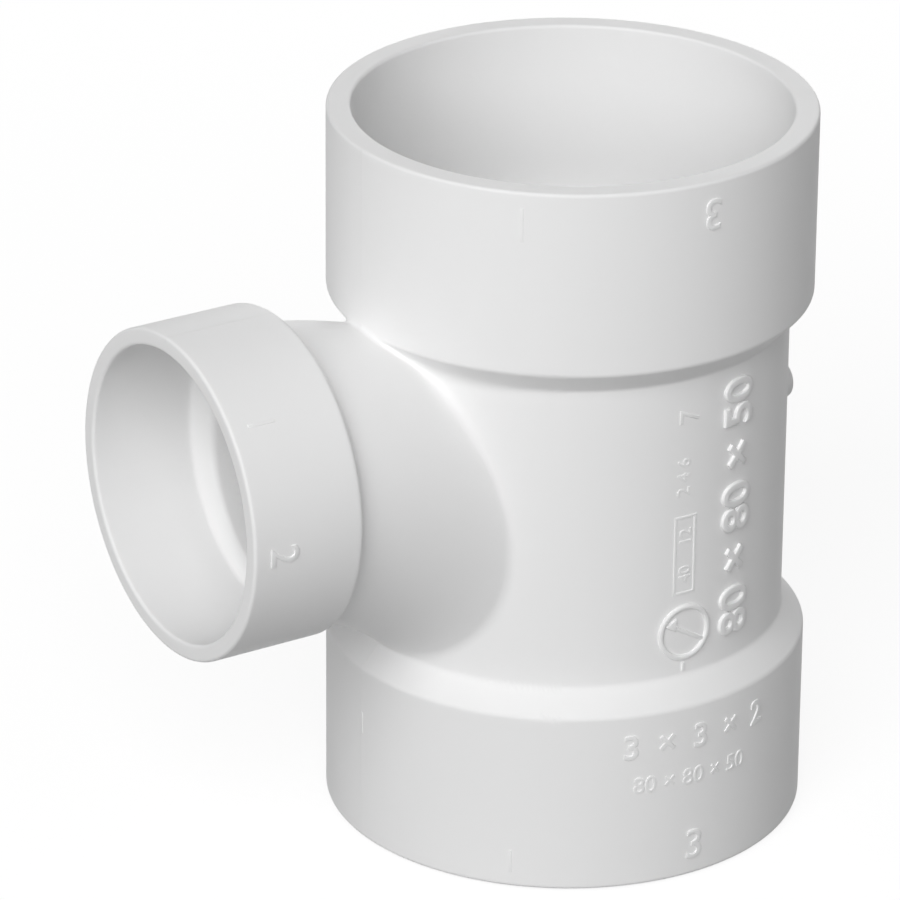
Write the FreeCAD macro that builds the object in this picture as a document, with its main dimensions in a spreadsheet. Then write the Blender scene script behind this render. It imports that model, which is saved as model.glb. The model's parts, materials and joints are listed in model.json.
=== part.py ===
import FreeCAD, Part
import math
import os
import re

import Sketcher

os.makedirs("parts", exist_ok=True)

# Sanitary tee for drain, waste and vent pipe, size 3 x 3 x 2, moulded in one piece.
# Frame: origin at the centre of the lower mouth, +Z up the run, +X out of the branch.
# Both run hubs take 3 inch pipe and the branch hub takes 2 inch pipe, each against a
# stop inside. The neck of the branch sweeps down into the run, the way the water goes.

doc = FreeCAD.newDocument("sanitary_tee")

# Driving sizes, in millimetres and degrees.
SIZES = [
    ("total_height", 152.4, "mouth to mouth along the run"),
    ("run_socket_radius", 44.5, "mean radius of a 3 inch solvent socket"),
    ("run_socket_depth", 38.1, "mouth to pipe stop in a run hub"),
    ("run_stop_width", 5.5, "step in from a run socket to the waterway, which stops the pipe"),
    ("run_hub_wall", 5.5, "wall round a run socket"),
    ("run_hub_length", 38.3, "straight outer wall of a run hub"),
    ("run_shoulder_rise", 5.3, "cone from a run hub to the barrel"),
    ("barrel_wall", 5.9, "wall of the run between the hubs"),
    ("branch_height", 88.0, "axis of the branch mouth above the lower mouth"),
    ("branch_stand_off", 44.5, "outside of the run hubs to the branch mouth"),
    ("branch_socket_radius", 30.2, "mean radius of a 2 inch solvent socket"),
    ("branch_socket_depth", 19.05, "mouth to pipe stop in the branch hub"),
    ("branch_stop_width", 4.0, "step in from the branch socket to the waterway"),
    ("branch_hub_wall", 3.8, "wall round the branch socket"),
    ("branch_hub_length", 24.5, "straight outer wall of the branch hub"),
    ("branch_shoulder_run", 2.0, "cone from the branch hub to the neck"),
    ("neck_wall", 4.1, "wall of the swept neck"),
    ("sweep_lead", 12.5, "branch mouth to the start of the sweep"),
    ("sweep_radius", 84.0, "centre line of the sweep"),
    ("sweep_turn", 75.0, "angle that the sweep turns before it ends inside the run"),
    ("junction_blend", 2.6, "fillet between the neck and the barrel"),
    ("lead_in", 0.8, "chamfer round the inside of each mouth"),
    ("rim_bevel", 0.6, "chamfer round the outside of each mouth"),
    ("gate_radius", 4.0, "stub left where the plastic entered the mould"),
    ("gate_length", 9.3, "stub from the barrel to its end"),
    ("gate_height", 79.8, "axis of the stub above the lower mouth"),
]

# Sizes that follow from those, as formulas in the same sheet.
DERIVED = [
    ("run_hub_radius", "run_socket_radius + run_hub_wall", "outside of both run hubs"),
    ("run_bore_radius", "run_socket_radius - run_stop_width", "waterway of the run"),
    ("barrel_radius", "run_bore_radius + barrel_wall", "outside of the barrel"),
    ("branch_reach", "run_hub_radius + branch_stand_off", "run axis to branch mouth"),
    ("branch_hub_radius", "branch_socket_radius + branch_hub_wall", "outside of the branch hub"),
    ("branch_bore_radius", "branch_socket_radius - branch_stop_width", "branch waterway"),
    ("neck_radius", "branch_bore_radius + neck_wall", "outside of the neck"),
    ("sweep_start", "branch_reach - sweep_lead", "run axis to the start of the sweep"),
]

sheet = doc.addObject("Spreadsheet::Sheet", "Sizes")
driving = [(alias, str(value), note) for alias, value, note in SIZES]
derived = [(alias, "=" + formula, note) for alias, formula, note in DERIVED]
for row, (alias, content, note) in enumerate(driving + derived, start=1):
    sheet.set(f"A{row}", alias)
    sheet.set(f"B{row}", content)
    sheet.set(f"C{row}", note)
    sheet.setAlias(f"B{row}", alias)
    doc.recompute()

body = doc.addObject("PartDesign::Body", "tee_body")
body.Label = "tee_body"

ORIGIN = (-1, 1)  # the sketcher's name for the origin point of a sketch
START, END, CENTRE = 1, 2, 3  # the sketcher's names for the points of a curve
NEAR = 0.02  # how close a point lies to a surface that it is on


def bound(formula):
    """A formula in the names of the sizes, as the document's expressions want it."""
    return re.sub(r"\b([a-z]+_[a-z_]+)\b", r"Sizes.\1", formula)


def worth(formula):
    """What a formula gives now."""
    return float(sheet.evalExpression(bound(formula)))


def origin_plane(role):
    """One of the body's own planes."""
    return next(item for item in body.Origin.OriginFeatures if item.Role == role)


def new_sketch(name, plane, along_y="0", along_z="0", quarter_turns=0):
    """A sketch on one of the body's planes, shifted by formulas in its own directions."""
    sketch = body.newObject("Sketcher::SketchObject", name)
    sketch.AttachmentSupport = [(origin_plane(plane), "")]
    sketch.MapMode = "FlatFace"
    turned_by = FreeCAD.Rotation(FreeCAD.Vector(0, 0, 1), 90 * quarter_turns)
    sketch.AttachmentOffset = FreeCAD.Placement(FreeCAD.Vector(0, 0, 0), turned_by)
    sketch.setExpression(".AttachmentOffset.Base.y", bound(along_y))
    sketch.setExpression(".AttachmentOffset.Base.z", bound(along_z))
    sketch.Visibility = False
    doc.recompute()
    return sketch


def drive(sketch, kind, ends, formula):
    """Adds a dimension that follows a formula."""
    index = sketch.addConstraint(Sketcher.Constraint(kind, *ends, worth(formula)))
    sketch.setExpression(f"Constraints[{index}]", bound(formula))


def fix_point(sketch, curve, place, x_formula, y_formula):
    """Dimensions a point of a curve from the origin of the sketch, both ways."""
    for kind, formula in (("DistanceX", x_formula), ("DistanceY", y_formula)):
        if worth(formula) < 0:
            drive(sketch, kind, (curve, place, *ORIGIN), f"-({formula})")
        else:
            drive(sketch, kind, (*ORIGIN, curve, place), formula)


def draw_outline(sketch, corners):
    """A closed outline of straight lines through corners, each a pair of formulas."""
    points = [FreeCAD.Vector(worth(x), worth(y), 0) for x, y in corners]
    lines = [Part.LineSegment(a, b) for a, b in zip(points, points[1:] + points[:1])]
    first = sketch.addGeometry(lines, False)[0]
    count = len(lines)
    for i in range(count):
        meeting = (first + i, END, first + (i + 1) % count, START)
        sketch.addConstraint(Sketcher.Constraint("Coincident", *meeting))
    for i, (x, y) in enumerate(corners):
        fix_point(sketch, first + i, START, x, y)


def draw_circle(sketch, radius):
    """A circle about the origin of the sketch."""
    outline = Part.Circle(FreeCAD.Vector(0, 0, 0), FreeCAD.Vector(0, 0, 1), worth(radius))
    curve = sketch.addGeometry(outline, False)
    sketch.addConstraint(Sketcher.Constraint("Coincident", curve, CENTRE, *ORIGIN))
    drive(sketch, "Radius", (curve,), radius)


def volume():
    """The volume of the body so far."""
    return 0.0 if body.Shape.isNull() else body.Shape.Volume


def settled(feature, before, sign):
    """Recomputes, and stops where a feature hasn't added (1), cut (-1) or rounded (0)."""
    doc.recompute()
    if "Invalid" in feature.State or "Error" in feature.State:
        raise RuntimeError(f"{feature.Name} failed: {feature.State}")
    change = volume() - before
    if abs(change) < 1e-6 or sign * change < 0:
        raise RuntimeError(f"{feature.Name} changed the volume by {change:.3f} mm3")
    print(f"{feature.Name:16s} {change:12.1f} mm3")
    return feature


# Turned and swept features leave their faces unmerged, since at some sizes the merging of
# the barrel with the cones and the blend goes wrong.
def turned(kind, name, sketch, axis):
    """A full turn of a sketch about its own axis: a Revolution adds and a Groove cuts."""
    before = volume()
    feature = body.newObject("PartDesign::" + kind, name)
    feature.Profile = sketch
    feature.ReferenceAxis = (sketch, [axis])
    feature.Angle = 360
    feature.Refine = False
    return settled(feature, before, 1 if kind == "Revolution" else -1)


def swept(kind, name, sketch, spine):
    """A sketch swept along another: an AdditivePipe adds and a SubtractivePipe cuts."""
    before = volume()
    feature = body.newObject("PartDesign::" + kind, name)
    feature.Profile = sketch
    feature.Spine = (spine, ["Edge1"])
    feature.Refine = False
    return settled(feature, before, 1 if kind == "AdditivePipe" else -1)


def rounded(name, base, belongs, radius):
    """A fillet on those edges of the last feature that lie wholly where a test says."""
    before = volume()
    edges = [
        f"Edge{number}" for number, edge in enumerate(base.Shape.Edges, start=1)
        if all(belongs(point) for point in edge.discretize(9)) and not straight(edge)
    ]
    feature = body.newObject("PartDesign::Fillet", name)
    feature.Base = (base, edges)
    feature.setExpression("Radius", bound(radius))
    return settled(feature, before, 0)


def straight(edge):
    """True for the seam that a turned surface closes on."""
    return isinstance(edge.Curve, Part.Line)


# The barrel, at first as long as the whole run.
barrel_outline = new_sketch("BarrelOutline", "YZ_Plane")
draw_outline(barrel_outline, [
    ("0", "0"),
    ("barrel_radius", "0"),
    ("barrel_radius", "total_height"),
    ("0", "total_height"),
])
turned("Revolution", "Barrel", barrel_outline, "V_Axis")

# The sweep: an arc that leaves the branch axis inside the branch hub, in line with it, and
# bends down into the run. The neck and its waterway share it, so the wall between is even.
sweep_path = new_sketch("SweepPath", "XZ_Plane", along_y="branch_height")
sweep_centre = FreeCAD.Vector(worth("sweep_start"), -worth("sweep_radius"), 0)
sweep_circle = Part.Circle(sweep_centre, FreeCAD.Vector(0, 0, 1), worth("sweep_radius"))
sweep_end_angle = math.pi / 2 + math.radians(worth("sweep_turn"))
arc = sweep_path.addGeometry(Part.ArcOfCircle(sweep_circle, math.pi / 2, sweep_end_angle), False)
fix_point(sweep_path, arc, CENTRE, "sweep_start", "-sweep_radius")
drive(sweep_path, "Radius", (arc,), "sweep_radius")
sweep_path.addConstraint(Sketcher.Constraint("Vertical", arc, START, arc, CENTRE))
drive(sweep_path, "DistanceX", (arc, END, arc, CENTRE), "sweep_radius * sin(sweep_turn)")

# The neck, blended into the barrel. Its section is turned so that the seam of the tube runs
# along the top of the neck, in the tee's mirror plane.
neck_section = new_sketch("NeckSection", "YZ_Plane", "branch_height", "sweep_start", 1)
draw_circle(neck_section, "neck_radius")
neck = swept("AdditivePipe", "Neck", neck_section, sweep_path)


def off_sweep(point):
    """A point's distance from the centre line of the sweep."""
    x = point.x - worth("sweep_start")
    z = point.z - worth("branch_height - sweep_radius")
    return math.hypot(math.hypot(x, z) - worth("sweep_radius"), point.y)


def off_run(point):
    """A point's distance from the axis of the run."""
    return math.hypot(point.x, point.y)


def on_junction(point):
    """True where the neck meets the barrel."""
    on_neck = abs(off_sweep(point) - worth("neck_radius")) < NEAR
    return on_neck and abs(off_run(point) - worth("barrel_radius")) < NEAR


rounded("JunctionBlend", neck, on_junction, "junction_blend")

# The two run hubs, each with a cone back to the barrel.
run_hub_outline = new_sketch("RunHubOutline", "YZ_Plane")
draw_outline(run_hub_outline, [
    ("run_bore_radius", "0"),
    ("run_hub_radius - rim_bevel", "0"),
    ("run_hub_radius", "rim_bevel"),
    ("run_hub_radius", "run_hub_length"),
    ("barrel_radius", "run_hub_length + run_shoulder_rise"),
    ("run_bore_radius", "run_hub_length + run_shoulder_rise"),
])
draw_outline(run_hub_outline, [
    ("run_bore_radius", "total_height"),
    ("run_hub_radius - rim_bevel", "total_height"),
    ("run_hub_radius", "total_height - rim_bevel"),
    ("run_hub_radius", "total_height - run_hub_length"),
    ("barrel_radius", "total_height - run_hub_length - run_shoulder_rise"),
    ("run_bore_radius", "total_height - run_hub_length - run_shoulder_rise"),
])
turned("Revolution", "RunHubs", run_hub_outline, "V_Axis")

# The branch hub, with a short cone back to the neck.
branch_hub_outline = new_sketch("BranchHubOutline", "XZ_Plane", "branch_height")
draw_outline(branch_hub_outline, [
    ("branch_reach", "0"),
    ("branch_reach", "branch_hub_radius - rim_bevel"),
    ("branch_reach - rim_bevel", "branch_hub_radius"),
    ("branch_reach - branch_hub_length", "branch_hub_radius"),
    ("branch_reach - branch_hub_length - branch_shoulder_run", "neck_radius"),
    ("branch_reach - branch_hub_length - branch_shoulder_run", "0"),
])
turned("Revolution", "BranchHub", branch_hub_outline, "H_Axis")

# The gate stub, on the side away from the branch.
gate_outline = new_sketch("GateOutline", "XZ_Plane", "gate_height")
draw_outline(gate_outline, [
    ("-run_bore_radius", "0"),
    ("-run_bore_radius", "gate_radius"),
    ("-barrel_radius - gate_length", "gate_radius"),
    ("-barrel_radius - gate_length", "0"),
])
turned("Revolution", "GateStub", gate_outline, "H_Axis")

# Inside of the run: a socket at each end, its pipe stop, and the waterway between them.
run_inside = new_sketch("RunInside", "YZ_Plane")
draw_outline(run_inside, [
    ("0", "0"),
    ("run_socket_radius + lead_in", "0"),
    ("run_socket_radius", "lead_in"),
    ("run_socket_radius", "run_socket_depth"),
    ("run_bore_radius", "run_socket_depth"),
    ("run_bore_radius", "total_height - run_socket_depth"),
    ("run_socket_radius", "total_height - run_socket_depth"),
    ("run_socket_radius", "total_height - lead_in"),
    ("run_socket_radius + lead_in", "total_height"),
    ("0", "total_height"),
])
turned("Groove", "RunWaterway", run_inside, "V_Axis")

# Inside of the branch: its socket and pipe stop, then the waterway down the sweep.
branch_inside = new_sketch("BranchInside", "XZ_Plane", "branch_height")
draw_outline(branch_inside, [
    ("branch_reach", "0"),
    ("branch_reach", "branch_socket_radius + lead_in"),
    ("branch_reach - lead_in", "branch_socket_radius"),
    ("branch_reach - branch_socket_depth", "branch_socket_radius"),
    ("branch_reach - branch_socket_depth", "0"),
])
turned("Groove", "BranchSocket", branch_inside, "H_Axis")
waterway_section = new_sketch("WaterwaySection", "YZ_Plane", "branch_height", "sweep_start", 1)
draw_circle(waterway_section, "branch_bore_radius")
swept("SubtractivePipe", "BranchWaterway", waterway_section, sweep_path)

for item in doc.Objects:
    if "Invalid" in item.State or "Error" in item.State:
        raise RuntimeError(f"{item.Name} is in state {item.State}")
shape = body.Shape
if shape.isNull() or not shape.isValid() or len(shape.Solids) != 1:
    raise RuntimeError("the tee isn't one valid solid")
shape.exportStep(f"parts/{body.Label}.step")
print(f"{body.Label}: {shape.Volume / 1000:.1f} cm3, {len(shape.Faces)} faces, {shape.BoundBox}")
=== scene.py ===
# %% [markdown]
# # A sanitary tee in white PVC
#
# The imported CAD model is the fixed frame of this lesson: a run with a pipe socket at each end,
# and a smaller socketed branch whose neck sweeps down into the side of the run. The lesson
# makes the fitting as it comes out of the mould, with soft edges, moulded numbers and a satin
# skin, in metres and in the CAD model's own frame.

# %% Load the frame
import json
import math

import bmesh
import bpy
import numpy as np
from mathutils import Matrix, Vector

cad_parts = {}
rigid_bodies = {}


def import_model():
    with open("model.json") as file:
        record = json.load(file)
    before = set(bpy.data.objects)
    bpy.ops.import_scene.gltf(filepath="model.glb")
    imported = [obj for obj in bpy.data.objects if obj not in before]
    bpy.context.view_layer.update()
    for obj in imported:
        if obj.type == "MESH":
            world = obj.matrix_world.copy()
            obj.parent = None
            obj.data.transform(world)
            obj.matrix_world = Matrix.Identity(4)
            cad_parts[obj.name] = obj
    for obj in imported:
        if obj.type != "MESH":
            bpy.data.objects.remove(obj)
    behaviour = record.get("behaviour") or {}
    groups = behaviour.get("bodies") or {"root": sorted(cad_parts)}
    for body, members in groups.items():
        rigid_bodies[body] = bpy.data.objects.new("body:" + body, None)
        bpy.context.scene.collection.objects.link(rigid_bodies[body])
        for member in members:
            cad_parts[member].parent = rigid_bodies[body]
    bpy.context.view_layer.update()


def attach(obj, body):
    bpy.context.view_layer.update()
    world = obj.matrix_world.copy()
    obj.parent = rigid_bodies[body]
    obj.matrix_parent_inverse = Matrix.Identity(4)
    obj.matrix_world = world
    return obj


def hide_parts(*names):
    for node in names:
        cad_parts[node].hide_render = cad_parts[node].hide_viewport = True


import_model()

MM = 0.001

# %% [markdown]
# ## The camera
#
# The fitting was photographed from far away with a long lens, from the side that the branch
# points to the left of, and from a little above. A camera could be placed by eye, but then no
# size could be compared with the photograph. These numbers were found by laying the circles of
# the three mouths over it until they agreed.

# %% Camera
LENS_PIXELS = 6150.0
FRAME_PIXELS = 900.0
CAMERA_PITCH = math.radians(24.3)
CAMERA_TURN = math.radians(32.3)
CAMERA_ROLL = math.radians(0.463)
CAMERA_DISTANCE = 1298.0 * MM
SENSOR_WIDTH = 36.0
AXIS_RIGHT = 24.14 * MM
ORIGIN_UP = -68.9 * MM

level_look = Vector((-math.sin(CAMERA_TURN), -math.cos(CAMERA_TURN), 0))
right = Vector((-math.cos(CAMERA_TURN), math.sin(CAMERA_TURN), 0))
look = level_look * math.cos(CAMERA_PITCH) - Vector((0, 0, 1)) * math.sin(CAMERA_PITCH)
above = level_look * math.sin(CAMERA_PITCH) + Vector((0, 0, 1)) * math.cos(CAMERA_PITCH)
eye = -look * CAMERA_DISTANCE - right * AXIS_RIGHT - above * ORIGIN_UP
rolled_right = right * math.cos(CAMERA_ROLL) + above * math.sin(CAMERA_ROLL)
rolled_up = above * math.cos(CAMERA_ROLL) - right * math.sin(CAMERA_ROLL)

bpy.ops.object.camera_add()
camera = bpy.context.active_object
camera.name = "camera"
facing_fitting = Matrix((rolled_right, rolled_up, -look)).transposed()
camera.matrix_world = Matrix.Translation(eye) @ facing_fitting.to_4x4()
camera.data.sensor_width = SENSOR_WIDTH
camera.data.lens = SENSOR_WIDTH * LENS_PIXELS / FRAME_PIXELS
camera.data.clip_start = 0.05
camera.data.clip_end = 20.0
bpy.context.scene.camera = camera
print("camera at", [round(c, 4) for c in eye], "lens", round(camera.data.lens, 1))

# %% [markdown]
# ## Light, floor and background
#
# One large soft lamp, a little left of the camera and above it, gives the even front and the
# darker right side of the photograph. Two weak lamps, from the far left and from the upper right,
# open the shadows, one behind keeps the back from going grey, and a pale world fills the rest.
# A picture of a studio could light it as well, but named lamps can be turned one by one.
#
# The floor is white to the camera and to reflections, and still keeps a faint shadow. To the
# light itself it is grey, as a table would be, so that it doesn't brighten the underside of the
# neck.

# %% Lamps
TARGET = Vector((0.012, 0.0, 0.076))


def lamp_from(name, turn, rise, distance, size, level):
    """A round lamp, turn degrees to the right of the camera and rise degrees above the horizon.

    level is how bright the lamp alone makes a white surface that faces it.
    """
    a = math.radians(turn)
    toward = -level_look * math.cos(a) + right * math.sin(a)
    way = toward * math.cos(math.radians(rise)) + Vector((0, 0, 1)) * math.sin(math.radians(rise))
    bpy.ops.object.light_add(type="AREA", location=TARGET + way * distance)
    lamp = bpy.context.active_object
    lamp.name = name
    lamp.rotation_euler = way.to_track_quat("Z", "Y").to_euler()
    lamp.data.shape = "DISK"
    lamp.data.size = size
    lamp.data.energy = level * math.pi ** 2 * distance ** 2


# Name, turn, rise, distance, size and level.
lamp_from("key_lamp", -14, 32, 2.4, 2.03, 0.74)
lamp_from("left_lamp", -90, 25, 1.3, 0.8, 0.07)
lamp_from("right_lamp", 50, 50, 1.3, 0.8, 0.05)
lamp_from("back_lamp", 170, 12, 1.3, 0.8, 0.25)

# %% World and floor
scene = bpy.context.scene
scene.view_settings.view_transform = "Standard"
scene.view_settings.look = "None"
FILL_LEVEL = 0.2
FLOOR_SIZE, FLOOR_DROP = 12.0, 0.0004
SHADOW_FULL, SHADOW_GONE = 0.16, 0.55
PAPER_GREY, SHADOWED_GREY, GLOW_LEVEL = 0.35, 0.24, 0.84
WHITE = (1, 1, 1, 1)


def math_node(tree, operation, *values):
    """A maths node. A value is a number or a socket."""
    node = tree.nodes.new("ShaderNodeMath")
    node.operation = operation
    for slot_in, value in zip(node.inputs, values):
        if isinstance(value, (int, float)):
            slot_in.default_value = value
        else:
            tree.links.new(value, slot_in)
    return node.outputs[0]


def seen_directly(tree):
    """1 for rays from the camera and from gloss and glass, 0 for the light on the object."""
    ray = tree.nodes.new("ShaderNodeLightPath")
    either = math_node(tree, "MAXIMUM", ray.outputs["Is Camera Ray"], ray.outputs["Is Glossy Ray"])
    return math_node(tree, "MAXIMUM", either, ray.outputs["Is Transmission Ray"])


def shade(tree, kind, **values):
    """A shader of a kind, with the inputs that are named set to their values."""
    node = tree.nodes.new(kind)
    for name, value in values.items():
        node.inputs[name].default_value = value
    return node.outputs[0]


def combine(tree, kind, *sockets):
    """A node that joins shaders, with its inputs linked in their order."""
    node = tree.nodes.new(kind)
    for slot_in, value in zip(node.inputs, sockets):
        tree.links.new(value, slot_in)
    return node.outputs[0]


def grey(level):
    """A colour without a hue."""
    return (level, level, level, 1)


world = bpy.data.worlds.new("studio")
scene.world = world
world.use_nodes = True
tree = world.node_tree
tree.nodes.clear()
fill = shade(tree, "ShaderNodeBackground", Color=WHITE, Strength=FILL_LEVEL)
white = shade(tree, "ShaderNodeBackground", Color=WHITE, Strength=1.0)
backdrop = combine(tree, "ShaderNodeMixShader", seen_directly(tree), fill, white)
out = tree.nodes.new("ShaderNodeOutputWorld")
tree.links.new(backdrop, out.inputs["Surface"])

bpy.ops.mesh.primitive_plane_add(size=FLOOR_SIZE, location=(0, 0, -FLOOR_DROP))
floor = bpy.context.active_object
floor.name = "floor"
bpy.ops.object.transform_apply(location=True, rotation=True, scale=True)
material = bpy.data.materials.new("floor_paper")
material.use_nodes = True
tree = material.node_tree
tree.nodes.clear()
place = tree.nodes.new("ShaderNodeTexCoord")
reach = tree.nodes.new("ShaderNodeVectorMath")
reach.operation = "LENGTH"
tree.links.new(place.outputs["Object"], reach.inputs[0])
away = tree.nodes.new("ShaderNodeMapRange")
away.interpolation_type = "SMOOTHSTEP"
away.inputs["From Min"].default_value = SHADOW_FULL
away.inputs["From Max"].default_value = SHADOW_GONE
tree.links.new(reach.outputs["Value"], away.inputs["Value"])
shadowed = shade(tree, "ShaderNodeBsdfDiffuse", Color=grey(SHADOWED_GREY))
glow = shade(tree, "ShaderNodeEmission", Strength=GLOW_LEVEL)
plain_white = shade(tree, "ShaderNodeEmission", Strength=1.0)
under_fitting = combine(tree, "ShaderNodeAddShader", shadowed, glow)
in_view = combine(tree, "ShaderNodeMixShader", away.outputs["Result"], under_fitting, plain_white)
paper = shade(tree, "ShaderNodeBsdfDiffuse", Color=grey(PAPER_GREY))
paper_or_white = combine(tree, "ShaderNodeMixShader", seen_directly(tree), paper, in_view)
out = tree.nodes.new("ShaderNodeOutputMaterial")
tree.links.new(paper_or_white, out.inputs["Surface"])
floor.data.materials.append(material)

# %% [markdown]
# ## The shape as one formula
#
# The fitting is moulded, so nothing on it is sharp, and the neck flows into the barrel and the
# upper hub along a line that no bevel can follow. So its skin is described once, as a distance:
# below zero in the plastic, zero on the skin, above zero outside. Parts are joined by a soft
# minimum, which leaves a fillet, and cut by a soft maximum, which leaves a round edge.

# %% Sizes of the fitting, in millimetres
HEIGHT = 152.4
HUB_RADIUS = 49.7
HUB_LENGTH = 38.3
SHOULDER_RISE, SHOULDER_STEP = 5.3, 5.1
CONE_RADIUS = 50.0
BARREL_RADIUS = 44.9
BORE_RADIUS = 39.0
SOCKET_MOUTH, SOCKET_END, SOCKET_DEPTH = 44.7, 44.3, 38.1
BRANCH_HEIGHT = 88.0
BRANCH_REACH = 94.5
BRANCH_HUB_RADIUS, BRANCH_HUB_REAR = 34.0, 70.0
REAR_RUN, REAR_STEP = 2.0, 3.7
BRANCH_MOUTH, BRANCH_END, BRANCH_DEPTH = 30.4, 30.0, 22.2
STOP_RUN, STOP_OVERLAP = 3.4, 2.0
NECK_RADIUS, WATER_RADIUS = 30.3, 26.2
SWEEP_X, SWEEP_RADIUS = 82.0, 84.0
SWEEP_Z = BRANCH_HEIGHT - SWEEP_RADIUS
RIM_ROUND, EDGE_ROUND, REAR_ROUND, STOP_ROUND = 0.8, 0.4, 0.7, 0.5
NECK_END, NECK_ROUND = 80.0, 1.0

# Fillets, in millimetres: where parts meet, and how the one along the neck grows and shrinks.
HUB_FILLET, SHOULDER_FILLET = 0.8, 0.4
NECK_FILLET, NECK_GROWS, NECK_SHRINKS = 1.0, 1.6, 0.6
GROWS_FROM, GROWS_TO, SHRINKS_FROM, SHRINKS_TO = 86.0, 106.0, 108.0, 115.0
UNDER_HUB_GROWS, UNDER_HUB_FROM, UNDER_HUB_TO = 1.2, 24.0, 44.0
STOP_FILLET, THROAT_FILLET, CROTCH_FILLET = 0.6, 0.8, 0.9


def soft_min(a, b, width):
    """The smaller of two distances, with a fillet where they are about equal."""
    share = np.clip(0.5 + 0.5 * (b - a) / width, 0, 1)
    return b + (a - b) * share - width * share * (1 - share)


def soft_max(a, b, width):
    """The larger of two distances, with a round edge where they are about equal."""
    return -soft_min(-a, -b, width)


def smooth_step(value, low, high):
    """0 up to low, 1 from high on, and a smooth rise between them."""
    t = np.clip((value - low) / (high - low), 0, 1)
    return t * t * (3 - 2 * t)


def sweep_tube(x, y, z, radius):
    """The round tube along the sweep, straight outside of its start."""
    bent = np.hypot(np.hypot(x - SWEEP_X, z - SWEEP_Z) - SWEEP_RADIUS, y)
    straight = np.hypot(z - BRANCH_HEIGHT, y)
    return np.where(x < SWEEP_X, bent, straight) - radius


def run_hub(radius, height):
    """A run hub and its cone. height counts from the hub's own mouth."""
    cone = SHOULDER_RISE * (radius - CONE_RADIUS) + SHOULDER_STEP * (height - HUB_LENGTH)
    cone = cone / math.hypot(SHOULDER_RISE, SHOULDER_STEP)
    return soft_max(radius - HUB_RADIUS, cone, EDGE_ROUND)


def tapered(depth, mouth, end, length):
    """The inside radius of a socket, a little wider at its mouth than at its pipe stop."""
    return mouth + (end - mouth) * np.clip(depth / length, 0, 1)


def outer_form(points):
    """The fitting as if it were solid, with mouths that never end."""
    x, y, z = points.T
    radius, around = np.hypot(x, y), np.hypot(y, z - BRANCH_HEIGHT)
    rear = REAR_RUN * (around - BRANCH_HUB_RADIUS) - REAR_STEP * (x - BRANCH_HUB_REAR)
    rear = rear / math.hypot(REAR_RUN, REAR_STEP)
    hub = soft_max(around - BRANCH_HUB_RADIUS, rear, REAR_ROUND)
    neck = soft_max(sweep_tube(x, y, z, NECK_RADIUS), x - NECK_END, NECK_ROUND)
    grown = NECK_GROWS * smooth_step(z, GROWS_FROM, GROWS_TO)
    kept = 1 - NECK_SHRINKS * smooth_step(z, SHRINKS_FROM, SHRINKS_TO)
    solid = soft_min(neck, hub, HUB_FILLET)
    solid = soft_min(radius - BARREL_RADIUS, solid, NECK_FILLET + grown * kept)
    solid = soft_min(solid, run_hub(radius, z), SHOULDER_FILLET)
    grown = UNDER_HUB_GROWS * smooth_step(x, UNDER_HUB_FROM, UNDER_HUB_TO)
    return soft_min(solid, run_hub(radius, HEIGHT - z), SHOULDER_FILLET + grown)


def water_space(points):
    """The sockets and the waterway between them."""
    x, y, z = points.T
    radius, around = np.hypot(x, y), np.hypot(y, z - BRANCH_HEIGHT)
    space = radius - BORE_RADIUS
    for depth in (z, HEIGHT - z):
        beside = radius - tapered(depth, SOCKET_MOUTH, SOCKET_END, SOCKET_DEPTH)
        space = soft_min(space, soft_max(beside, depth - SOCKET_DEPTH, STOP_ROUND), STOP_FILLET)
    depth = BRANCH_REACH - x
    beside = around - tapered(depth, BRANCH_MOUTH, BRANCH_END, BRANCH_DEPTH)
    stop = STOP_RUN * (around - BRANCH_END) + (BRANCH_END - WATER_RADIUS) * (depth - BRANCH_DEPTH)
    stop = stop / math.hypot(STOP_RUN, BRANCH_END - WATER_RADIUS)
    beyond = depth - BRANCH_DEPTH - STOP_RUN - STOP_OVERLAP
    mouth = soft_max(soft_max(beside, stop, STOP_ROUND), beyond, STOP_ROUND)
    throat = soft_min(sweep_tube(x, y, z, WATER_RADIUS), mouth, THROAT_FILLET)
    return soft_min(space, throat, CROTCH_FILLET)


def skin(points):
    """The distance from the skin of the fitting."""
    x, y, z = points.T
    solid = soft_max(outer_form(points), -water_space(points), RIM_ROUND)
    for beyond in (-z, z - HEIGHT, x - BRANCH_REACH):
        solid = soft_max(solid, beyond, RIM_ROUND)
    return solid


def slope(points, step=0.002):
    """Which way the distance grows, which is also the way that the skin faces."""
    parts = []
    for axis in np.eye(3) * step:
        parts.append((skin(points + axis) - skin(points - axis)) / (2 * step))
    return np.stack(parts, -1)


# %% [markdown]
# ## The run, drawn and spun
#
# The run is a turned shape, so its section is drawn as by hand: one point, extruded from corner
# to corner up the outside, over the rim and down the inside. Extra points lie close to each
# corner, where the moulded edge will be rounded. The spin tool then turns the section about
# the axis of the run.

# %% Draw a section
TURNS = 192
WINDOW = 30
ROWS = 60
NEAR_CORNER = [0.25, 0.55, 0.9, 1.4]
WELD = 0.01 * MM


def select_only(piece):
    """Selects one piece alone, and makes it the active one."""
    bpy.ops.object.select_all(action="DESELECT")
    piece.select_set(True)
    bpy.context.view_layer.objects.active = piece


def stations(length, gap):
    """Distances along a line between two corners, close together near both."""
    support = [s for s in NEAR_CORNER if s < 0.45 * length]
    back = [length - s for s in reversed(support)]
    a, b = (support[-1], back[0]) if support else (0.0, length)
    count = max(1, round((b - a) / gap))
    middle = list(np.linspace(a, b, count + 1)[1:-1]) if b - a > gap else []
    return [0.0] + support + middle + back


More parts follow.
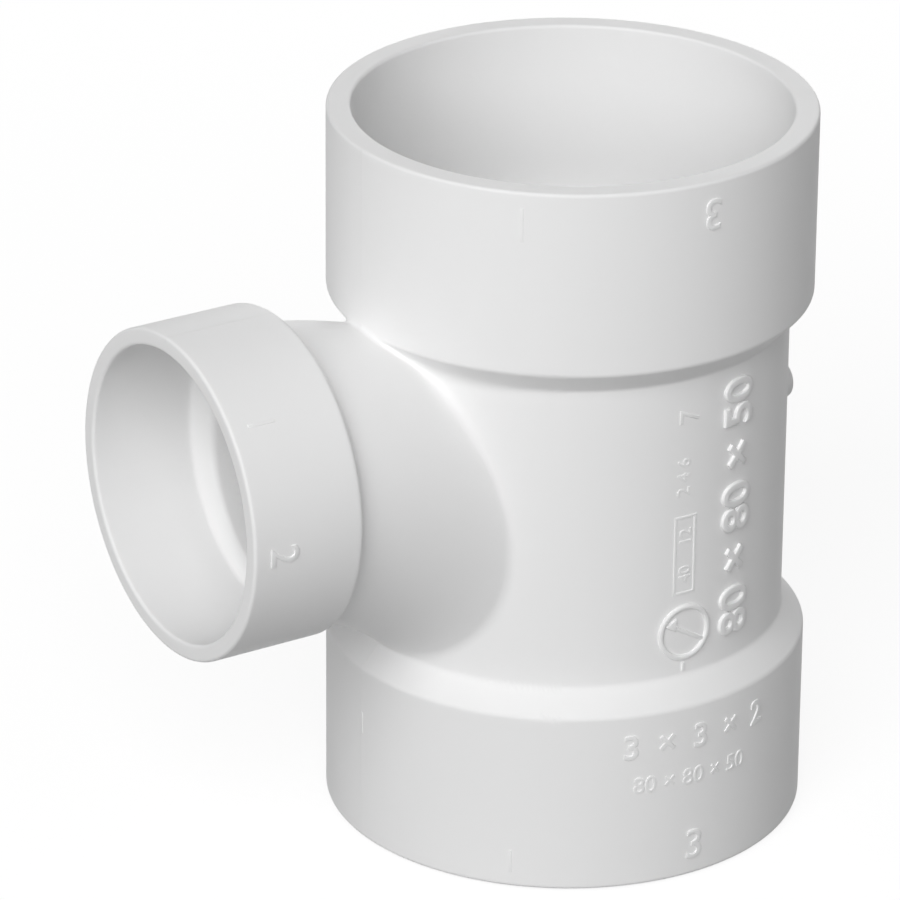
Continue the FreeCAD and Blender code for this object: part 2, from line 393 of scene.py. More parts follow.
def trace(corners, gap):
    """Points along straight runs between corners, as vectors."""
    points = []
    for here, there in zip(corners, corners[1:]):
        here, there = Vector(here), Vector(there)
        length = (there - here).length
        points += [here.lerp(there, s / length) for s in stations(length, gap)]
    return points + [Vector(corners[-1])]


def draw(name, points):
    """A line of edges through points in millimetres, drawn by extruding one vertex."""
    bpy.ops.object.select_all(action="DESELECT")
    bpy.ops.mesh.primitive_plane_add(size=1.0, location=(0, 0, 0))
    piece = bpy.context.active_object
    piece.name = name
    bpy.ops.object.mode_set(mode="EDIT")
    bpy.ops.mesh.select_mode(type="VERT")
    bpy.ops.mesh.merge(type="CENTER")
    bpy.ops.transform.translate(value=points[0] * MM)
    for here, there in zip(points, points[1:]):
        bpy.ops.mesh.extrude_region_move(TRANSFORM_OT_translate={"value": (there - here) * MM})
    return piece


def spin(steps, centre, axis):
    """Turns all that is drawn once round, and closes the seam."""
    bpy.ops.mesh.select_all(action="SELECT")
    bpy.ops.mesh.remove_doubles(threshold=WELD)
    bpy.ops.mesh.select_all(action="SELECT")
    bpy.ops.mesh.spin(steps=steps, angle=2 * math.pi, center=Vector(centre) * MM, axis=axis)
    bpy.ops.mesh.select_all(action="SELECT")
    bpy.ops.mesh.remove_doubles(threshold=WELD)
    bpy.ops.mesh.select_all(action="SELECT")
    bpy.ops.mesh.normals_make_consistent(inside=False)


# %% The section of the run
def run_radius(z):
    """The outside of the run before its edges are rounded."""
    height = min(z, HEIGHT - z)
    cone = CONE_RADIUS - (height - HUB_LENGTH) * SHOULDER_STEP / SHOULDER_RISE
    return max(BARREL_RADIUS, min(HUB_RADIUS, cone))


# Rows lie close together at the two edges of each cone, which will be rounded.
low_rows = [36.3, 37.3, 37.9, 38.3, 38.55, 38.8, 39.1, 39.5, 40.2]
low_rows += [41.0, 41.8, 42.4, 42.9, 43.3, 43.7, 44.2, 44.8, 45.6]
high_rows = [HEIGHT - z for z in reversed(low_rows)]
middle_count = ROWS - 2 * (len(low_rows) - 1)
middle_rows = list(np.linspace(low_rows[-1], high_rows[0], middle_count + 1)[1:-1])
outer_rows = low_rows + middle_rows + high_rows
inner_rows = list(np.linspace(HEIGHT - 42.6, 40.2, ROWS + 1))
hub_rows = [0.0, *NEAR_CORNER, 8.0, 15.0, 22.0, 29.0, 34.0]
top_stop = HEIGHT - SOCKET_DEPTH

section = [Vector((-HUB_RADIUS, 0, z)) for z in hub_rows]
section += [Vector((-run_radius(z), 0, z)) for z in outer_rows]
section += [Vector((-HUB_RADIUS, 0, HEIGHT - z)) for z in reversed(hub_rows[1:])]
section += trace([
    (-HUB_RADIUS, 0, HEIGHT), (-SOCKET_MOUTH, 0, HEIGHT), (-SOCKET_END, 0, top_stop),
    (-BORE_RADIUS, 0, top_stop), (-BORE_RADIUS, 0, inner_rows[0]),
], 6.0)[:-1]
section += [Vector((-BORE_RADIUS, 0, z)) for z in inner_rows]
section += trace([
    (-BORE_RADIUS, 0, inner_rows[-1]), (-BORE_RADIUS, 0, SOCKET_DEPTH),
    (-SOCKET_END, 0, SOCKET_DEPTH), (-SOCKET_MOUTH, 0, 0), (-HUB_RADIUS, 0, 0),
], 6.0)[1:]
body = draw("tee_moulded", section)
spin(TURNS, (0, 0, 0), (0, 0, 1))
print("section of the run:", len(section), "points")

# %% [markdown]
# ## Windows for the branch
#
# The branch needs an opening through the run. A boolean could cut it, but would leave slivers
# along the cut. So a patch of whole faces is deleted from the outside and one from the bore. Each
# opening has as many edges as a ring of the branch has, so that they can be bridged one to one.

# %% Open the windows
window_half = math.radians(WINDOW * 360 / TURNS)


def in_window(centre):
    """Whether a face lies in the patch outside or in the patch on the bore."""
    radius = math.hypot(centre.x, centre.y)
    in_socket = centre.z < SOCKET_DEPTH + 0.2 or centre.z > top_stop - 0.2
    on_outside = radius > BARREL_RADIUS - 0.5 and not (radius < SOCKET_MOUTH + 0.05 and in_socket)
    on_bore = radius < BORE_RADIUS + 0.3
    outer_patch = on_outside and outer_rows[0] < centre.z < outer_rows[-1]
    inner_patch = on_bore and inner_rows[-1] < centre.z < inner_rows[0]
    return abs(math.atan2(centre.y, centre.x)) < window_half and (outer_patch or inner_patch)


bpy.ops.mesh.select_mode(type="FACE")
bpy.ops.mesh.select_all(action="DESELECT")
mesh = bmesh.from_edit_mesh(body.data)
opened = 0
for face in mesh.faces:
    chosen = in_window(face.calc_center_median() / MM)
    face.select_set(chosen)
    opened += chosen
bmesh.update_edit_mesh(body.data)
bpy.ops.mesh.delete(type="FACE")
bpy.ops.object.mode_set(mode="OBJECT")
print("faces taken out:", opened)

# %% [markdown]
# ## The branch, drawn and spun
#
# A curve with a round profile could make the neck, but not the socket and its stop in one piece
# with it. So the branch is drawn from the neck outwards, round its mouth and back down its
# waterway, and is spun about its own level axis. Then the rings of the neck and of the waterway
# sink to follow the sweep.

# %% Make the branch
LEAVE_X, ENTER_X = 58.0, 44.0
RING_STEPS = 8 * WINDOW


def sweep_drop(x):
    """How far the sweep's centre line lies below the branch axis."""
    return SWEEP_RADIUS - math.sqrt(SWEEP_RADIUS ** 2 - (SWEEP_X - x) ** 2)


branch_stop = BRANCH_REACH - BRANCH_DEPTH
neck_end = BRANCH_HUB_REAR - REAR_RUN
neck_stations = list(np.arange(LEAVE_X, 66.4, 1.2))[:-1] + list(np.arange(66.4, neck_end, 0.32))
line = [Vector((x, 0, NECK_RADIUS)) for x in neck_stations]
for t in np.linspace(0, 1, 12)[:-1]:
    line.append(Vector((neck_end + REAR_RUN * t, 0, NECK_RADIUS + REAR_STEP * t)))
line += trace([
    (BRANCH_HUB_REAR, 0, BRANCH_HUB_RADIUS), (BRANCH_REACH, 0, BRANCH_HUB_RADIUS),
    (BRANCH_REACH, 0, BRANCH_MOUTH), (branch_stop, 0, BRANCH_END),
    (branch_stop - STOP_RUN, 0, WATER_RADIUS),
], 4.0)[:-1]
line += [Vector((branch_stop - STOP_RUN - s, 0, WATER_RADIUS)) for s in (0.0, *NEAR_CORNER)]
line += [Vector((x, 0, WATER_RADIUS)) for x in np.linspace(65.6, ENTER_X, 18)]
branch = draw("branch", [point + Vector((0, 0, BRANCH_HEIGHT)) for point in line])
spin(RING_STEPS, (0, 0, BRANCH_HEIGHT), (1, 0, 0))
bpy.ops.object.mode_set(mode="OBJECT")
for vertex in branch.data.vertices:
    x, y, z = vertex.co / MM
    around = math.hypot(y, z - BRANCH_HEIGHT)
    if around < WATER_RADIUS + 0.1 or (x < neck_end + 0.01 and around < NECK_RADIUS + 0.1):
        vertex.co.z -= sweep_drop(x) * MM
print("rings of the branch:", len(line))

# %% [markdown]
# ## The collar between the branch and the run
#
# A bridge between the two openings would be straight, and would cut across the hollow under the
# upper hub. So the collar is laid out in rows: along the neck until each line meets the run, and
# then over the run's own surface to the edge of the window. Its first and last rows repeat the
# vertices of the two openings, so that they merge.

# %% Lay out a collar
SWEEP_TURN = math.radians(75)
HALVINGS = 40


def edge_of_window(rows):
    """The opening in the run, from its top middle round by way of +Y."""
    low, high, step = rows[0], rows[-1], 2 * math.pi / TURNS
    spots = [(i * step, high) for i in range(WINDOW)]
    spots += [(WINDOW * step, z) for z in reversed(rows)]
    spots += [(i * step, low) for i in range(WINDOW - 1, -WINDOW, -1)]
    spots += [(-WINDOW * step, z) for z in rows]
    spots += [(i * step, high) for i in range(1 - WINDOW, 0)]
    return np.array(spots)


def on_run(spots, radius_at):
    """Points on the run from pairs of an angle and a height."""
    radius = np.array([radius_at(z) for z in spots[:, 1]])
    return np.stack([radius * np.cos(spots[:, 0]), radius * np.sin(spots[:, 0]), spots[:, 1]], -1)


def on_tube(turned, lean, radius):
    """Points on the swept tube, from how far the sweep has turned and the angle round it."""
    reach = SWEEP_RADIUS + radius * np.cos(lean)
    x, z = SWEEP_X - reach * np.sin(turned), SWEEP_Z + reach * np.cos(turned)
    return np.stack([x, radius * np.sin(lean), z], -1)


def collar(name, ring_x, tube_radius, radius_at, rows, neck_rows, run_rows):
    """A mesh from a ring of the branch to the edge of its window."""
    around = np.arange(RING_STEPS) * 2 * math.pi / RING_STEPS
    height = BRANCH_HEIGHT - sweep_drop(ring_x) + tube_radius * np.cos(around)
    ring = np.stack([np.full_like(around, ring_x), tube_radius * np.sin(around), height], -1)
    reach = np.hypot(ring[:, 0] - SWEEP_X, ring[:, 2] - SWEEP_Z)
    lean = np.arctan2(ring[:, 1], reach - SWEEP_RADIUS)
    first = np.arctan2(SWEEP_X - ring[:, 0], ring[:, 2] - SWEEP_Z)
    # Where a line of the tube meets the run is found by halving the stretch that holds it.
    out, into = first.copy(), np.full_like(first, SWEEP_TURN)
    for _ in range(HALVINGS):
        halfway = (out + into) / 2
        point = on_tube(halfway, lean, tube_radius)
        outside = np.hypot(point[:, 0], point[:, 1]) > [radius_at(z) for z in point[:, 2]]
        out, into = np.where(outside, halfway, out), np.where(outside, into, halfway)
    meeting = on_tube(out, lean, tube_radius)
    meeting = np.stack([np.arctan2(meeting[:, 1], meeting[:, 0]), meeting[:, 2]], -1)
    edge = edge_of_window(rows)
    # The rows on both sides lie closer together toward the line where the two surfaces meet.
    grid = [ring]
    for share in 1 - (1 - np.linspace(0, 1, neck_rows + 1)[1:]) ** 1.4:
        grid.append(on_tube(first + (out - first) * share, lean, tube_radius))
    for share in np.linspace(0, 1, run_rows + 1)[1:] ** 1.3:
        grid.append(on_run(meeting + (edge - meeting) * share, radius_at))
    count, faces = len(around), []
    for row in range(len(grid) - 1):
        for i in range(count):
            j = (i + 1) % count
            here, below = row * count, (row + 1) * count
            faces.append((here + i, here + j, below + j, below + i))
    made = bpy.data.meshes.new(name)
    made.from_pydata([tuple(p) for p in np.concatenate(grid) * MM], [], faces)
    piece = bpy.data.objects.new(name, made)
    bpy.context.scene.collection.objects.link(piece)
    print(name, "has", len(grid), "rows")
    return piece


def bore_radius(z):
    """The bore is equally wide at every height."""
    return BORE_RADIUS


outer_collar = collar("outer_collar", LEAVE_X, NECK_RADIUS, run_radius, outer_rows, 28, 26)
bore_rows = inner_rows[::-1]
inner_collar = collar("inner_collar", ENTER_X, WATER_RADIUS, bore_radius, bore_rows, 12, 8)

# %% [markdown]
# ## Join, and let the skin settle
#
# The four meshes become one closed shell. Then every vertex is moved straight onto the zero of
# the distance, which rounds the rims and the edges and fills the line between neck and run with
# its fillet. Where the neck runs in under the upper hub the rows crowd together and can fold, so
# that patch is smoothed and moved back in turn, eight times over. The vertex normals come from the
# same distance, which keeps long flat faces flat beside their rounded edges.

# %% Join and settle
bpy.ops.object.select_all(action="DESELECT")
for piece in (body, branch, outer_collar, inner_collar):
    piece.select_set(True)
bpy.context.view_layer.objects.active = body
bpy.ops.object.join()
bpy.ops.object.mode_set(mode="EDIT")
bpy.ops.mesh.select_mode(type="VERT")
bpy.ops.mesh.select_all(action="SELECT")
bpy.ops.mesh.remove_doubles(threshold=WELD)
bpy.ops.mesh.select_all(action="SELECT")
bpy.ops.mesh.normals_make_consistent(inside=False)
bpy.ops.object.mode_set(mode="OBJECT")
mesh = bmesh.new()
mesh.from_mesh(body.data)
print("open edges left:", sum(not edge.is_manifold for edge in mesh.edges))
mesh.free()


def settle(piece, chosen=None, rounds=14):
    """Moves vertices, all or those for which chosen(x, y, z) holds, straight onto the skin."""
    every = np.empty(len(piece.data.vertices) * 3)
    piece.data.vertices.foreach_get("co", every)
    every = every.reshape(-1, 3) / MM
    moving = chosen(*every.T) if chosen else np.ones(len(every), bool)
    points = every[moving]
    for _ in range(rounds):
        # No step is longer than 1 mm, and none runs away where the formula is nearly flat.
        gap, way = skin(points), slope(points)
        step = gap[:, None] * way / np.maximum((way ** 2).sum(-1, keepdims=True), 0.05)
        size = np.linalg.norm(step, axis=1, keepdims=True)
        points -= step * np.minimum(1, 1.0 / np.maximum(size, 1e-9))
    every[moving] = points
    piece.data.vertices.foreach_set("co", (every * MM).ravel())
    piece.data.update()
    return every


def relax(piece, chosen, repeat):
    """Evens out the vertices for which chosen(x, y, z) holds, in millimetres."""
    select_only(piece)
    bpy.ops.object.mode_set(mode="EDIT")
    bpy.ops.mesh.select_mode(type="VERT")
    bpy.ops.mesh.select_all(action="DESELECT")
    cage = bmesh.from_edit_mesh(piece.data)
    for vertex in cage.verts:
        vertex.select_set(bool(chosen(*(vertex.co / MM))))
    bmesh.update_edit_mesh(piece.data)
    bpy.ops.mesh.vertices_smooth(factor=0.5, repeat=repeat)
    bpy.ops.object.mode_set(mode="OBJECT")


def in_hollow(x, y, z):
    """Where the neck runs in under the edge of the upper hub."""
    return (104 < z) & (z < 122) & (36 < x) & (x < 60) & (abs(y) < 28) & (np.hypot(x, y) > 43.5)


settle(body)
for _ in range(8):
    relax(body, in_hollow, 6)
    settle(body, in_hollow, 4)
points = settle(body)
print("furthest from the skin, in mm:", float(np.abs(skin(points)).max()))
facing = slope(points)
facing /= np.linalg.norm(facing, axis=1, keepdims=True)
select_only(body)
bpy.ops.object.shade_smooth()
body.data.normals_split_custom_set_from_vertices([tuple(way) for way in facing])


def belongs(piece):
    """Hangs a piece on the fitting and hides the CAD body. Its material is given further down."""
    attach(piece, "root")
    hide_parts("tee_body")
    return piece


pieces = [belongs(body)]
print("faces of the body:", len(body.data.polygons))

# %% [markdown]
# ## The gate stub
#
# On the side away from the branch a short round stub is left where the plastic entered the mould.
# It could be part of the formula, but its snapped end has small steps that a tool shows better: a
# cylinder whose rim is bevelled and whose end is inset and drawn in. It reaches a little into the
# wall, as the marks below do.

# %% Gate stub
GATE_RADIUS, GATE_END, GATE_HEIGHT = 4.0, 54.2, 79.8
GATE_ROOT = 43.0
GATE_ROUND, GATE_LIP, GATE_STEP, GATE_CORE = 0.7, 1.1, 0.35, 0.5


def edit(piece):
    """Goes into edit mode on one piece, with all of it selected."""
    select_only(piece)
    bpy.ops.object.mode_set(mode="EDIT")
    bpy.ops.mesh.select_mode(type="VERT")
    bpy.ops.mesh.select_all(action="SELECT")


def select_where(piece, holds):
    """Selects the faces whose centre, in millimetres, passes a test."""
    bpy.ops.mesh.select_mode(type="FACE")
    bpy.ops.mesh.select_all(action="DESELECT")
    cage = bmesh.from_edit_mesh(piece.data)
    for face in cage.faces:
        face.select_set(bool(holds(face.calc_center_median() / MM)))
    bmesh.update_edit_mesh(piece.data)


def on_snapped_end(spot):
    """Whether a face of the stub is the round one in the middle of its end."""
    return spot.x < -GATE_END + 0.001 and math.hypot(spot.y, spot.z - GATE_HEIGHT) < 0.1


bpy.ops.object.select_all(action="DESELECT")
bpy.ops.mesh.primitive_cylinder_add(
    vertices=72, radius=GATE_RADIUS * MM, depth=(GATE_END - GATE_ROOT) * MM,
    location=(-(GATE_END + GATE_ROOT) / 2 * MM, 0, GATE_HEIGHT * MM), rotation=(0, -math.pi / 2, 0),
)
gate = bpy.context.active_object
gate.name = "gate_stub"
bpy.ops.object.transform_apply(location=True, rotation=True, scale=True)
edit(gate)
select_where(gate, lambda spot: spot.x < -GATE_END + 0.1)
bpy.ops.mesh.bevel(offset=GATE_ROUND * MM, segments=5, affect="EDGES")
select_where(gate, on_snapped_end)
bpy.ops.mesh.inset(thickness=GATE_LIP * MM)
bpy.ops.mesh.inset(thickness=GATE_STEP * MM)
bpy.ops.transform.translate(value=(GATE_STEP * MM, 0, 0))
bpy.ops.mesh.inset(thickness=GATE_CORE * MM)
bpy.ops.object.mode_set(mode="OBJECT")
bpy.ops.object.shade_smooth_by_angle(angle=math.radians(35))
pieces.append(belongs(gate))

# %% [markdown]
# ## Raised marks
#
# A shrinkwrap could lay marks on the skin, but it would bend their edges. So each mark is made
# flat, in millimetres, and is then wrapped round the run or the branch hub: its own right and up
# become an angle and a distance along the axis. Digits are Blender's own text made a mesh, with a
# soft edge as a mould gives. Size digits stand with their feet toward the mouth that they
# describe. The foot of every mark lies a little under the skin.

# %% Wrap a flat mark round a cylinder
FOOT = 0.25
FONT_DIGIT_SHARE = 0.7
FINE_WELD = 0.0005 * MM
BAR_STEP = 1.5


def wrap(piece, radius, place, turn=0.0, on_branch=False):
    """Lays a flat mark on a cylinder.

    place is an angle in degrees and a distance along the axis, and turn is anticlockwise.
    """
    angle, along = math.radians(place[0]), place[1]
    spin_by = Matrix.Rotation(math.radians(turn), 3, "Z")
    for vertex in piece.data.vertices:
        across, up, out = spin_by @ (vertex.co / MM)
        reach = radius + out
        if on_branch:
            a = angle - across / radius
            spot = Vector((along - up, reach * math.cos(a), BRANCH_HEIGHT + reach * math.sin(a)))
        else:
            a = angle + across / radius
            spot = Vector((reach * math.cos(a), reach * math.sin(a), along + up))
        vertex.co = spot * MM
    piece.data.update()
    pieces.append(belongs(piece))


def digits(name, words, tall, lift, soft=0.12, bold=0.06, apart=1.0):
    """Raised text with rounded edges, tall millimetres high, with its middle at the origin."""
    bpy.ops.object.select_all(action="DESELECT")
    bpy.ops.object.text_add(location=(0, 0, 0))
    piece = bpy.context.active_object
    piece.name = name
    piece.data.body = words
    piece.data.size = tall / FONT_DIGIT_SHARE * MM
    piece.data.resolution_u = 6
    piece.data.bevel_depth = soft * MM
    piece.data.bevel_resolution = 2
    piece.data.offset = (bold - soft) * MM
    piece.data.space_character = apart
    piece.data.extrude = ((lift + FOOT) / 2 - soft) * MM
    bpy.ops.object.convert(target="MESH")
    corners = [Vector(corner) / MM for corner in piece.bound_box]
    low = Vector([min(c[i] for c in corners) for i in range(3)])
    high = Vector([max(c[i] for c in corners) for i in range(3)])
    grow = tall / (high.y - low.y)
    edit(piece)
    bpy.ops.mesh.remove_doubles(threshold=FINE_WELD)
    bpy.ops.mesh.normals_make_consistent(inside=False)
    bpy.ops.transform.translate(value=-(low + high) / 2 * MM)
    bpy.ops.transform.resize(value=(grow, grow, 1.0), center_override=(0, 0, 0))
    bpy.ops.transform.translate(value=(0, 0, (lift - FOOT) / 2 * MM))
    bpy.ops.object.mode_set(mode="OBJECT")
    bpy.ops.object.shade_smooth_by_angle(angle=math.radians(40))
    return piece


def bar(name, wide, tall, lift):
    """A raised line with rounded edges, in short lengths so that it can follow a curve."""
    bpy.ops.object.select_all(action="DESELECT")
    bpy.ops.mesh.primitive_cube_add(size=MM, location=(0, 0, 0))
    piece = bpy.context.active_object
    piece.name = name
    edit(piece)
    bpy.ops.transform.resize(value=(wide, tall, lift + FOOT), center_override=(0, 0, 0))
    bpy.ops.transform.translate(value=(0, 0, (lift - FOOT) / 2 * MM))
    cuts = max(1, round(max(wide, tall) / BAR_STEP))
    for axis, size in ((0, wide), (1, tall)):
        for i in range(1, cuts) if size > BAR_STEP else ():
            spot = [0, 0, 0]
            spot[axis] = (i / cuts - 0.5) * size * MM
            bpy.ops.mesh.select_all(action="SELECT")
            bpy.ops.mesh.bisect(plane_co=spot, plane_no=[float(axis == 0), float(axis == 1), 0])
    select_where(piece, lambda spot: spot.z > lift - 0.001)
    bpy.ops.mesh.region_to_loop()
    bpy.ops.mesh.bevel(offset=min(0.4 * wide, 0.45 * lift, 0.2) * MM, segments=3, affect="EDGES")
    bpy.ops.object.mode_set(mode="OBJECT")
    bpy.ops.object.shade_smooth_by_angle(angle=math.radians(50))
    return piece


# %% Size digits and centre lines on the hubs
# Sizes are in millimetres. A place is an angle in degrees and a distance along the axis.
wrap(digits("upper_three", "3", 6.6, 0.3), HUB_RADIUS, (90.5, 145.4), 180)
wrap(digits("lower_three", "3", 6.6, 0.3), HUB_RADIUS, (89.6, 7.0))
wrap(digits("branch_two", "2", 6.2, 0.3), BRANCH_HUB_RADIUS, (-1.8, 87.7), 0, True)
wrap(bar("upper_line", 0.7, 7.0, 0.14), HUB_RADIUS, (45.4, 145.5))
wrap(bar("lower_line", 0.7, 5.0, 0.14), HUB_RADIUS, (44.6, 5.8))
wrap(bar("under_branch_line", 0.7, 4.6, 0.12), HUB_RADIUS, (0.5, 26.3))
wrap(bar("branch_line", 0.7, 6.0, 0.15), BRANCH_HUB_RADIUS, (43.5, 87.4), 0, True)
print("marks so far:", len(pieces) - 2)

# %% Numbers on the barrel and the lower hub
TIMES = " \u00d7 "
inches, millimetres = TIMES.join("332"), TIMES.join(("80", "80", "50"))
barrel_sizes = digits("barrel_sizes", millimetres, 8.2, 0.7, 0.25, 0.25, 0.98)
wrap(barrel_sizes, BARREL_RADIUS, (105.6, 77.4), 90)
wrap(digits("lower_inches", inches, 5.5, 0.25, 0.1, 0.12, 1.22), HUB_RADIUS, (91.0, 31.6))
wrap(digits("lower_millimetres", millimetres, 3.7, 0.17, 0.07, 0.05), HUB_RADIUS, (89.0, 22.8))
wrap(digits("mould_number", "7", 4.6, 0.17), BARREL_RADIUS, (89.2, 100.8), 90)
wrap(digits("batch_numbers", "2 4 6", 3.0, 0.12, 0.06), BARREL_RADIUS, (87.8, 87.5), 90)
wrap(digits("wall_number", "40", 2.8, 0.12, 0.06), BARREL_RADIUS, (88.7, 66.0), 90)
wrap(digits("row_number", "12", 2.8, 0.12, 0.06), BARREL_RADIUS, (88.7, 74.6), 90)

# %% Frame round the wall number
FRAME_WIDE, FRAME_TALL, FRAME_LINE, FRAME_LIFT = 4.6, 16.8, 0.55, 0.14
FRAME_PLACE = (88.7, 70.3)
for side in (-1, 1):
    shift = math.degrees(side * FRAME_WIDE / 2 / BARREL_RADIUS)
    upright = bar("frame_side", FRAME_LINE, FRAME_TALL, FRAME_LIFT)
    wrap(upright, BARREL_RADIUS, (FRAME_PLACE[0] + shift, FRAME_PLACE[1]))
    across = bar("frame_end", FRAME_WIDE + FRAME_LINE, FRAME_LINE, FRAME_LIFT)
    wrap(across, BARREL_RADIUS, (FRAME_PLACE[0], FRAME_PLACE[1] + side * FRAME_TALL / 2))

# %% [markdown]
# ## The date ring
#
# A round insert in the mould leaves a raised ring with a pointer across it. A torus would be
# quicker, but the ring is flatter than round. So a flat disc is inset, its middle is deleted, and
# what is left is raised and bevelled. The pointer is a bar with a small three-sided head.

# %% Date ring
RING_RADIUS, RING_WIDTH, RING_LIFT, RING_ROUND = 6.15, 1.1, 0.6, 0.42
RING_PLACE = (89.2, 53.1)
POINTER_TURN = -30
ARROW_RADIUS, ARROW_LIFT, ARROW_ROUND = 1.7, 0.5, 0.25
ARROW_ACROSS, ARROW_UP = -3.5, 0.2
bpy.ops.object.select_all(action="DESELECT")
bpy.ops.mesh.primitive_circle_add(
    vertices=96, radius=RING_RADIUS * MM, fill_type="NGON", location=(0, 0, -FOOT * MM),
)
ring = bpy.context.active_object
ring.name = "date_ring"
bpy.ops.object.transform_apply(location=True)
edit(ring)
bpy.ops.mesh.select_mode(type="FACE")
bpy.ops.mesh.select_all(action="SELECT")
bpy.ops.mesh.inset(thickness=RING_WIDTH * MM)
bpy.ops.mesh.delete(type="FACE")
bpy.ops.mesh.select_all(action="SELECT")
bpy.ops.mesh.extrude_region_move(TRANSFORM_OT_translate={"value": (0, 0, (RING_LIFT + FOOT) * MM)})
bpy.ops.mesh.region_to_loop()
bpy.ops.mesh.bevel(offset=RING_ROUND * MM, segments=4, affect="EDGES")
bpy.ops.mesh.select_all(action="SELECT")
bpy.ops.mesh.normals_make_consistent(inside=False)
bpy.ops.object.mode_set(mode="OBJECT")
bpy.ops.object.shade_smooth_by_angle(angle=math.radians(50))
wrap(ring, BARREL_RADIUS, RING_PLACE)
wrap(bar("date_pointer", 10.5, 0.8, 0.35), BARREL_RADIUS, RING_PLACE, POINTER_TURN)
bpy.ops.object.select_all(action="DESELECT")
bpy.ops.mesh.primitive_cylinder_add(
    vertices=3, radius=ARROW_RADIUS * MM, depth=(ARROW_LIFT + FOOT) * MM, location=(0, 0, 0),
)
head = bpy.context.active_object
head.name = "date_arrow"
edit(head)
middle = Vector((ARROW_ACROSS, ARROW_UP, (ARROW_LIFT - FOOT) / 2))
bpy.ops.transform.translate(value=middle * MM)
select_where(head, lambda spot: spot.z > ARROW_LIFT - 0.001)
bpy.ops.mesh.region_to_loop()
bpy.ops.mesh.bevel(offset=ARROW_ROUND * MM, segments=3, affect="EDGES")
bpy.ops.object.mode_set(mode="OBJECT")
bpy.ops.object.shade_smooth_by_angle(angle=math.radians(50))
wrap(head, BARREL_RADIUS, RING_PLACE, POINTER_TURN)
wrap(bar("date_tick", 0.7, 1.9, 0.3), BARREL_RADIUS, (RING_PLACE[0] - 0.3, 45.4))
print("pieces:", len(pieces))

# %% [markdown]
# ## White PVC
#
# Moulded PVC is a satin white, never quite even. An image could hold that, but it would need
# seams and a file, so three small node groups give it instead: a faint unevenness in tone and
# gloss, the very fine grain of the mould, and the parting line where its two halves met, which
# runs round the outside in the plane of the branch. All of them use the object's own coordinates
# in metres, so nothing slides over the surface.

# %% Node groups
def new_group(name, inputs, outputs):
    """A shader node group with named sockets, and its input and output nodes."""
    tree = bpy.data.node_groups.new(name, "ShaderNodeTree")
    for label, kind, value in inputs:
        socket_in = tree.interface.new_socket(name=label, in_out="INPUT", socket_type=kind)
        socket_in.default_value = value
    for label, kind in outputs:
        tree.interface.new_socket(name=label, in_out="OUTPUT", socket_type=kind)
    return tree, tree.nodes.new("NodeGroupInput"), tree.nodes.new("NodeGroupOutput")


def noise(tree, place, scale, detail):
    """Noise between 0 and 1 at a scale per metre."""
    node = tree.nodes.new("ShaderNodeTexNoise")
    node.inputs["Scale"].default_value = scale
    node.inputs["Detail"].default_value = detail
    tree.links.new(place, node.inputs["Vector"])
    return node.outputs["Fac"]


NUMBER, VECTOR, COLOUR = "NodeSocketFloat", "NodeSocketVector", "NodeSocketColor"
PVC_COLOUR = (0.93, 0.93, 0.93, 1)
ROUGHNESS_LOW, ROUGHNESS_SPREAD = 0.45, 0.14
RIDGE_HEIGHT, GRAIN_HEIGHT = 0.00006, 0.000004

tone, inside, outside = new_group(
    "moulded_tone",
    [("Place", VECTOR, (0, 0, 0)), ("Colour", COLOUR, PVC_COLOUR), ("Spread", NUMBER, 0.012)],
    [("Colour", COLOUR), ("Roughness", NUMBER)],
)
cloud = noise(tone, inside.outputs["Place"], 45.0, 3.0)
centred = math_node(tone, "SUBTRACT", cloud, 0.5)
strength = math_node(tone, "MULTIPLY_ADD", centred, inside.outputs["Spread"], 1.0)
scaled = tone.nodes.new("ShaderNodeVectorMath")
scaled.operation = "SCALE"
tone.links.new(inside.outputs["Colour"], scaled.inputs[0])
tone.links.new(strength, scaled.inputs["Scale"])
tone.links.new(scaled.outputs[0], outside.inputs["Colour"])
gloss = noise(tone, inside.outputs["Place"], 140.0, 4.0)
roughness = math_node(tone, "MULTIPLY_ADD", gloss, ROUGHNESS_SPREAD, ROUGHNESS_LOW)
tone.links.new(roughness, outside.inputs["Roughness"])

grain, inside, outside = new_group(
    "mould_grain",
    [("Place", VECTOR, (0, 0, 0))],
    [("Height", NUMBER)],
)
coarse = noise(grain, inside.outputs["Place"], 900.0, 2.0)
fine = noise(grain, inside.outputs["Place"], 3200.0, 1.0)
grain.links.new(math_node(grain, "MULTIPLY_ADD", coarse, 1.6, fine), outside.inputs["Height"])

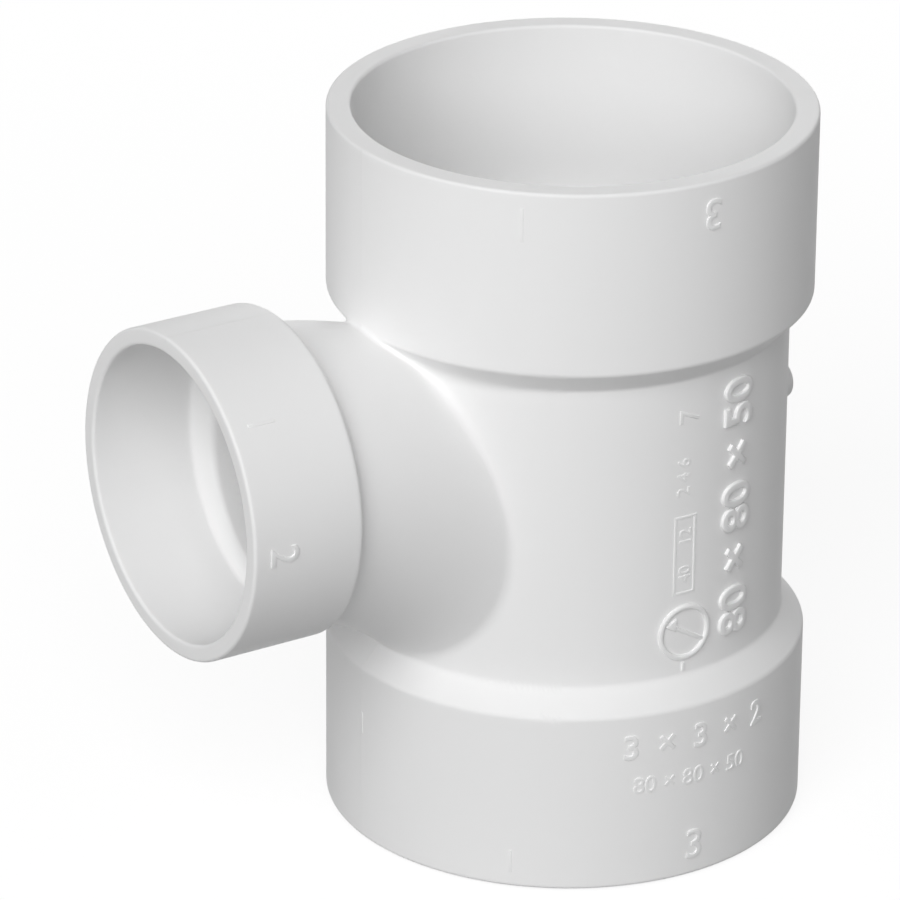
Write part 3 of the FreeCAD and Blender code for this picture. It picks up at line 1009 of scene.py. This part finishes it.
parting, inside, outside = new_group(
    "parting_line",
    [("Place", VECTOR, (0, 0, 0)), ("Facing", VECTOR, (0, 0, 1)), ("Half Width", NUMBER, 0.00022)],
    [("Line", NUMBER)],
)
place = parting.nodes.new("ShaderNodeSeparateXYZ")
parting.links.new(inside.outputs["Place"], place.inputs[0])
faces = parting.nodes.new("ShaderNodeSeparateXYZ")
parting.links.new(inside.outputs["Facing"], faces.inputs[0])
off_plane = math_node(parting, "ABSOLUTE", place.outputs["Y"])
beside = math_node(parting, "DIVIDE", off_plane, inside.outputs["Half Width"])
ridge = math_node(parting, "SUBTRACT", 1.0, math_node(parting, "MINIMUM", beside, 1.0))
out_of_run = math_node(parting, "MULTIPLY", place.outputs["X"], faces.outputs["X"])
above_branch = math_node(parting, "SUBTRACT", place.outputs["Z"], BRANCH_HEIGHT * MM)
out_of_branch = math_node(parting, "MULTIPLY", above_branch, faces.outputs["Z"])
on_branch = math_node(parting, "GREATER_THAN", place.outputs["X"], (HUB_RADIUS + 1.0) * MM)
outward = parting.nodes.new("ShaderNodeMix")
parting.links.new(on_branch, outward.inputs["Factor"])
parting.links.new(out_of_run, outward.inputs["A"])
parting.links.new(out_of_branch, outward.inputs["B"])
seen_outside = math_node(parting, "GREATER_THAN", outward.outputs["Result"], 0.0)
parting.links.new(math_node(parting, "MULTIPLY", ridge, seen_outside), outside.inputs["Line"])

# %% PVC
pvc = bpy.data.materials.new("satin_white_pvc")
pvc.use_nodes = True
nodes, links = pvc.node_tree.nodes, pvc.node_tree.links
shader = nodes["Principled BSDF"]
shader.inputs["IOR"].default_value = 1.46
shader.inputs["Specular IOR Level"].default_value = 0.25
coordinates = nodes.new("ShaderNodeTexCoord")


def use_group(group):
    """A node of a group, with the object's coordinates as its place."""
    node = nodes.new("ShaderNodeGroup")
    node.node_tree = group
    links.new(coordinates.outputs["Object"], node.inputs["Place"])
    return node


surface = use_group(tone)
links.new(surface.outputs["Colour"], shader.inputs["Base Color"])
links.new(surface.outputs["Roughness"], shader.inputs["Roughness"])
seam = use_group(parting)
links.new(coordinates.outputs["Normal"], seam.inputs["Facing"])
ridge_bump = nodes.new("ShaderNodeBump")
ridge_bump.inputs["Distance"].default_value = RIDGE_HEIGHT
links.new(seam.outputs["Line"], ridge_bump.inputs["Height"])
grain_bump = nodes.new("ShaderNodeBump")
grain_bump.inputs["Distance"].default_value = GRAIN_HEIGHT
links.new(use_group(grain).outputs["Height"], grain_bump.inputs["Height"])
links.new(ridge_bump.outputs["Normal"], grain_bump.inputs["Normal"])
links.new(grain_bump.outputs["Normal"], shader.inputs["Normal"])
for piece in pieces:
    piece.data.materials.clear()
    piece.data.materials.append(pvc)
print("pieces in PVC:", len(pieces))

# %% The end
bpy.context.view_layer.update()
